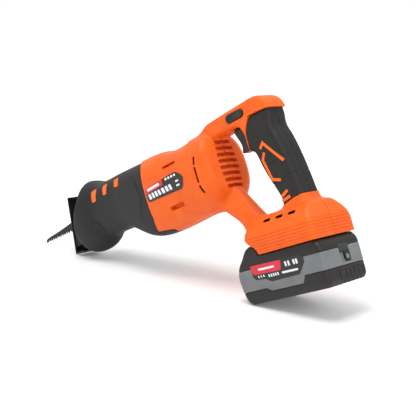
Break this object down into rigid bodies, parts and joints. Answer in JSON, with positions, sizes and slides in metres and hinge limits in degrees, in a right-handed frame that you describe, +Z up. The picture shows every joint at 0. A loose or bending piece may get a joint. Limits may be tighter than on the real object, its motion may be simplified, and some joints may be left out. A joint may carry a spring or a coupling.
{
  "type": "reciprocating saw",
  "caption": "Cordless reciprocating saw with an orange housing, black soft grip and boot, pivoting shoe, toothed blade and a slide-on battery, resting nose-down.",
  "frame": {"origin": "on the floor under the middle of the bounding box", "axes": "+X forward and level, the way the blade points seen from above; +Y the tool's left side; +Z up. The plunger axis is pitched 24 degrees nose-down."},
  "size_m": [0.5674, 0.081, 0.2384],
  "materials": {
    "orange_plastic": "satin moulded",
    "black_rubber": "fine matt",
    "black_plastic": "fine matt",
    "pack_plastic": "fine spark texture",
    "grey_plastic": "fine spark texture",
    "red_plastic": "smooth",
    "ground_steel": "ground",
    "dark_steel": "blackened",
    "blade_steel": "dark oxide",
    "cast_alloy": "as cast",
    "bronze": "sintered",
    "ferrite": "ceramic magnet",
    "board": "lacquered board",
    "zinc_steel": "zinc plated"
  },
  "bodies": {
    "saw_body": {"control_board": "board", "front_boot": "black_rubber", "gear_bearing": "ground_steel", "gear_case_lower": "cast_alloy", "gear_case_upper": "cast_alloy", "grip_cover_left": "black_rubber", "grip_cover_right": "black_rubber", "housing_left": "orange_plastic", "housing_right": "orange_plastic", "housing_screw_1": "zinc_steel", "housing_screw_2": "zinc_steel", "housing_screw_3": "zinc_steel", "housing_screw_4": "zinc_steel", "housing_screw_5": "zinc_steel", "housing_screw_6": "zinc_steel", "magnet_left": "ferrite", "magnet_right": "ferrite", "motor_bearing_front": "ground_steel", "motor_bearing_rear": "ground_steel", "motor_can": "ground_steel", "motor_end_bell": "black_plastic", "name_plate_left": "black_plastic", "name_plate_right": "black_plastic", "plunger_bush_front": "bronze", "plunger_bush_rear": "bronze", "plunger_seal": "black_rubber", "shoe_bracket": "zinc_steel", "shoe_pivot_pin": "zinc_steel", "terminal_block": "black_plastic", "trigger_spring": "zinc_steel", "trigger_switch": "black_plastic"},
    "rotor_body": {"rotor": "ground_steel", "motor_pinion": "ground_steel", "cooling_fan": "black_plastic"},
    "crank_body": {"crank_gear": "ground_steel", "crank_roller": "ground_steel", "gear_spindle": "ground_steel"},
    "plunger_body": {"plunger": "ground_steel", "yoke": "ground_steel", "blade_clamp": "ground_steel", "blade_lock_pin": "ground_steel", "clamp_keeper_ring": "ground_steel"},
    "collar_body": {"clamp_collar": "black_plastic"},
    "blade_body": {"saw_blade": "blade_steel"},
    "shoe_body": {"shoe_plate": "dark_steel"},
    "trigger_body": {"trigger": "black_plastic"},
    "lock_body": {"lock_off_button": "black_plastic"},
    "battery_body": {"battery_case_lower": "pack_plastic", "battery_case_upper": "pack_plastic", "battery_band": "grey_plastic", "battery_label_left": "black_plastic", "battery_label_right": "black_plastic", "cell_block": "black_plastic", "battery_board": "board", "charge_gauge": "black_plastic", "release_spring": "zinc_steel"},
    "release_body": {"battery_release": "red_plastic"},
    "gauge_body": {"gauge_button": "red_plastic"}
  },
  "joints": [
    {"name": "rotor_spin", "type": "hinge", "parent": "saw_body", "child": "rotor_body", "pos_m": [-0.04787, 0, 0.13264], "axis": [0.9135, 0, -0.4067], "continuous": true},
    {"name": "crank_spin", "type": "hinge", "parent": "saw_body", "child": "crank_body", "pos_m": [0.03435, 0, 0.09603], "axis": [0.4067, 0, 0.9135], "continuous": true},
    {"name": "plunger_stroke", "type": "slide", "parent": "saw_body", "child": "plunger_body", "axis": [0.9135, 0, -0.4067], "range_m": [-0.02, 0]},
    {"name": "collar_turn", "type": "hinge", "parent": "plunger_body", "child": "collar_body", "pos_m": [0.15485, 0, 0.06427], "axis": [0.9135, 0, -0.4067], "range_deg": [0, 50], "stiffness_Nm_per_rad": 0.05},
    {"name": "blade_release", "type": "slide", "parent": "plunger_body", "child": "blade_body", "axis": [0.9135, 0, -0.4067], "range_m": [0, 0.025]},
    {"name": "shoe_tilt", "type": "hinge", "parent": "saw_body", "child": "shoe_body", "pos_m": [0.15391, 0, 0.03513], "axis": [0, -1, 0], "range_deg": [0, 6]},
    {"name": "trigger_pull", "type": "slide", "parent": "saw_body", "child": "trigger_body", "axis": [0.9135, 0, -0.4067], "range_m": [-0.006, 0], "stiffness_N_per_m": 500, "springref_m": 0.004, "deforming": ["trigger_spring"]},
    {"name": "lock_off_push", "type": "slide", "parent": "saw_body", "child": "lock_body", "axis": [0, 1, 0], "range_m": [-0.003, 0]},
    {"name": "battery_slide", "type": "slide", "parent": "saw_body", "child": "battery_body", "axis": [0.9354, 0, -0.3535], "range_m": [0, 0.1]},
    {"name": "release_press", "type": "slide", "parent": "battery_body", "child": "release_body", "axis": [0.3535, 0, 0.9354], "range_m": [-0.0022, 0], "stiffness_N_per_m": 600, "springref_m": 0.002, "deforming": ["release_spring"]},
    {"name": "gauge_press", "type": "slide", "parent": "battery_body", "child": "gauge_body", "axis": [0.9354, 0, -0.3535], "range_m": [0, 0.0008], "stiffness_N_per_m": 500, "springref_m": -0.0005}
  ],
  "couplings": [
    {"joint": "crank_spin", "follows": "rotor_spin", "ratio": -0.25}
  ]
}
